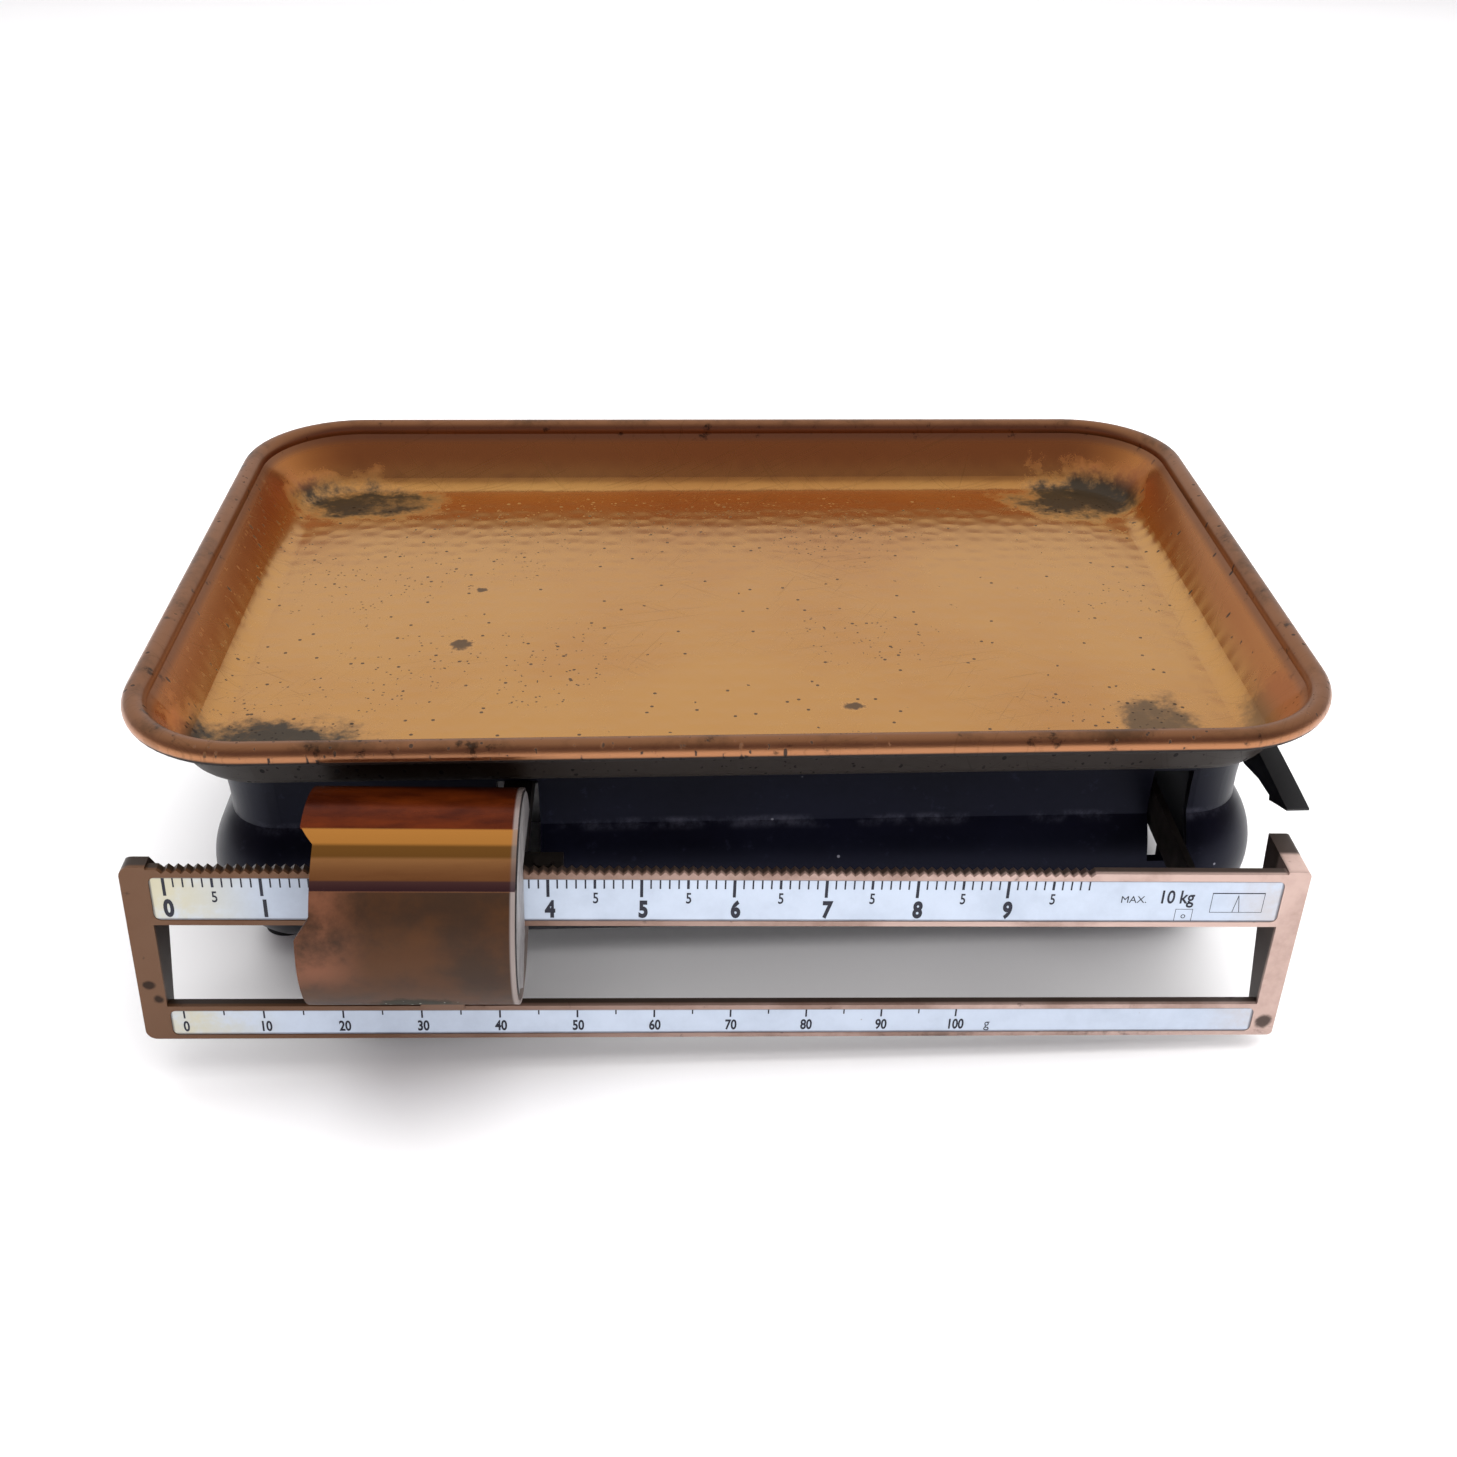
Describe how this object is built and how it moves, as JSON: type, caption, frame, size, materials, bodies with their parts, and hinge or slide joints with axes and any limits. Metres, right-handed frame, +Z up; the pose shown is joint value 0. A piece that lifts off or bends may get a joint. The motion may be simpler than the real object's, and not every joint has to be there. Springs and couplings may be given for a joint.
{
  "type": "household steelyard balance",
  "caption": "Household steelyard kitchen balance: oblong copper tray on a black base, with a two-bar notched beam, a half-drum poise and a fine rider.",
  "frame": {"origin": "on the table, under the middle of the whole outline", "axes": "+X to the right along the beam, +Y to the back away from the beam, +Z up"},
  "size_m": [0.34, 0.2746, 0.1023],
  "materials": {
    "tray_copper": "bright lacquered copper finish, lightly tarnished",
    "copper_finish": "worn copper finish",
    "poise_copper": "tarnished copper finish",
    "rider_copper": "worn copper finish",
    "base_paint": "satin black paint",
    "horn_black": "black paint",
    "scale_enamel": "white enamel with dark printed scale",
    "cast_poise": "bare cast metal, scratched",
    "dull_steel": "dull steel strip",
    "bracket_steel": "plated steel",
    "hard_steel": "ground hardened steel",
    "screw_steel": "plated steel screws",
    "nut_brass": "turned brass",
    "foot_rubber": "black rubber"
  },
  "bodies": {
    "base": {"base_casing": "base_paint", "rubber_feet": "foot_rubber", "foot_screws": "screw_steel", "index_horn": "horn_black", "horn_rivets": "horn_black", "bearing_bracket_front": "bracket_steel", "bearing_bracket_rear": "bracket_steel", "fulcrum_seats": "hard_steel", "stay_bracket": "bracket_steel", "stay_pin": "hard_steel", "rest_bracket": "bracket_steel", "rest_pad": "foot_rubber", "deck_screws": "screw_steel"},
    "beam": {"beam_frame": "copper_finish", "upper_scale_plate": "scale_enamel", "lower_scale_plate": "scale_enamel", "left_arm": "dull_steel", "right_arm": "dull_steel", "lever_rail": "dull_steel", "load_arms": "dull_steel", "fulcrum_knives": "hard_steel", "load_knives": "hard_steel", "arm_rivets": "dull_steel", "zero_rod": "hard_steel"},
    "zero_nut": {"zero_nut": "nut_brass"},
    "large_poise": {"poise_core": "cast_poise", "poise_sleeve": "poise_copper", "poise_tooth": "hard_steel"},
    "fine_poise": {"fine_rider": "rider_copper"},
    "carrier": {"load_seats": "hard_steel", "carrier_posts": "bracket_steel", "carrier_stem": "bracket_steel", "stem_pin": "hard_steel", "tray_spider": "bracket_steel", "spider_pads": "foot_rubber"},
    "stay": {"stay_link": "dull_steel"},
    "tray": {"tray": "tray_copper"}
  },
  "joints": [
    {"name": "beam_tilt", "type": "hinge", "parent": "base", "child": "beam", "pos_m": [-0.0643, 0.02045, 0.053], "axis": [0, -1, 0], "range_deg": [0, 2.2]},
    {"name": "poise_slide", "type": "slide", "parent": "beam", "child": "large_poise", "axis": [0.9996, 0, -0.0297], "range_m": [-0.0425, 0.205]},
    {"name": "rider_slide", "type": "slide", "parent": "beam", "child": "fine_poise", "axis": [0.9996, 0, -0.0297], "range_m": [-0.0645, 0.1505]},
    {"name": "zero_nut_slide", "type": "slide", "parent": "beam", "child": "zero_nut", "axis": [0.9996, 0, -0.0297], "range_m": [-0.018, 0.018]},
    {"name": "carrier_drop", "type": "slide", "parent": "base", "child": "carrier", "axis": [0, 0, 1], "range_m": [-0.0008, 0]},
    {"name": "stay_swing", "type": "hinge", "parent": "base", "child": "stay", "pos_m": [-0.0643, 0.02635, 0.018], "axis": [0, -1, 0], "range_deg": [0, 2.2]},
    {"name": "tray_lift", "type": "slide", "parent": "carrier", "child": "tray", "axis": [0, 0, 1], "range_m": [0, 0.06]}
  ],
  "couplings": [
    {"joint": "carrier_drop", "follows": "beam_tilt", "m_per_rad": -0.016},
    {"joint": "stay_swing", "follows": "beam_tilt", "ratio": 1}
  ]
}
